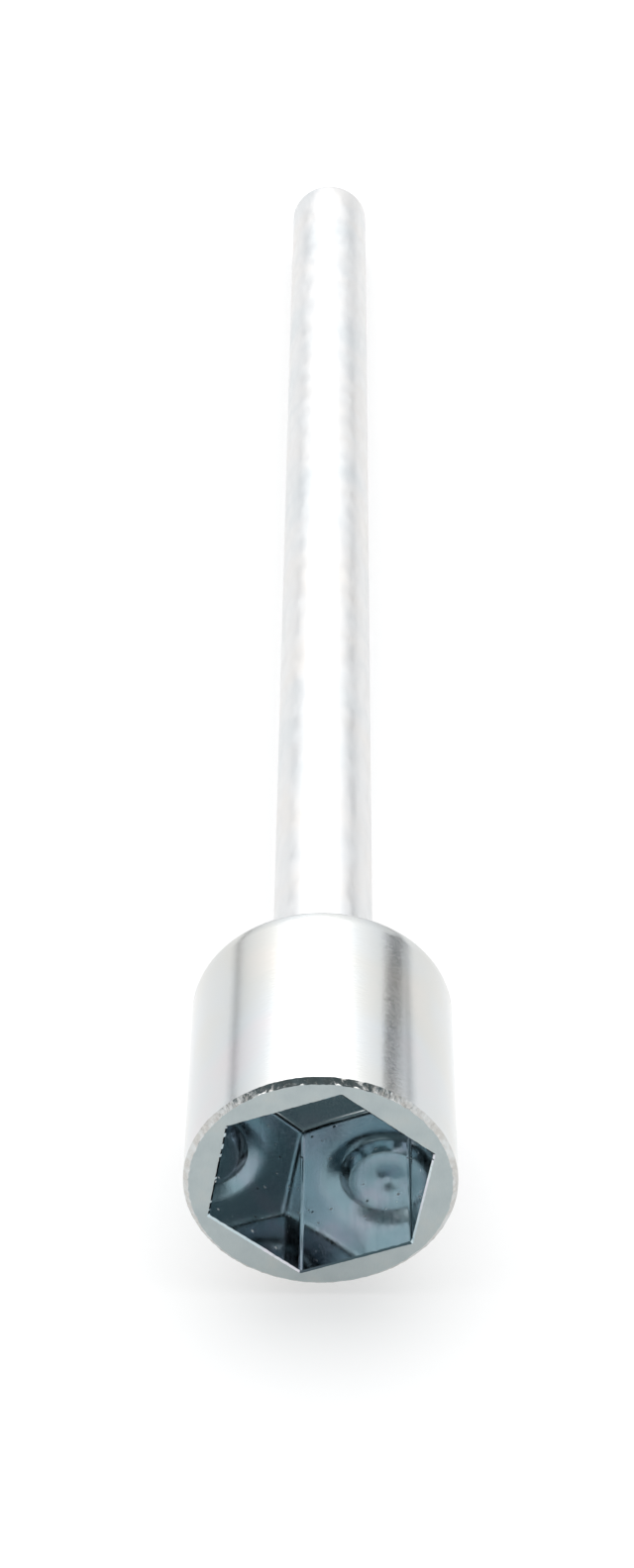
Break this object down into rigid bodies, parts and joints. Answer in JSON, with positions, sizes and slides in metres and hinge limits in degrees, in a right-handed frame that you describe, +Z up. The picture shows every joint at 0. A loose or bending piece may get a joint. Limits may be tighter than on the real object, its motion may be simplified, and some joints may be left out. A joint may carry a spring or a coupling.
{
  "type": "lug wrench",
  "caption": "Straight socket lug wrench: a short round steel head with a blind hexagon mouth, welded to a plain round rod.",
  "frame": {"origin": "centre of the head's open face, on the tool's axis", "axes": "+Y along the rod, from the mouth to the far end; +Z up; +X to the right of someone who looks into the mouth"},
  "size_m": [0.0254, 0.2, 0.0254],
  "materials": {
    "head_zinc": "bright zinc plate, blue passivated, turned and lightly tumbled",
    "rod_zinc": "bright zinc plate over cold-drawn bar",
    "weld_zinc": "zinc plate over a rippled weld"
  },
  "bodies": {
    "root": {"socket_head": "head_zinc", "shank_rod": "rod_zinc", "weld_bead": "weld_zinc"}
  },
  "joints": []
}
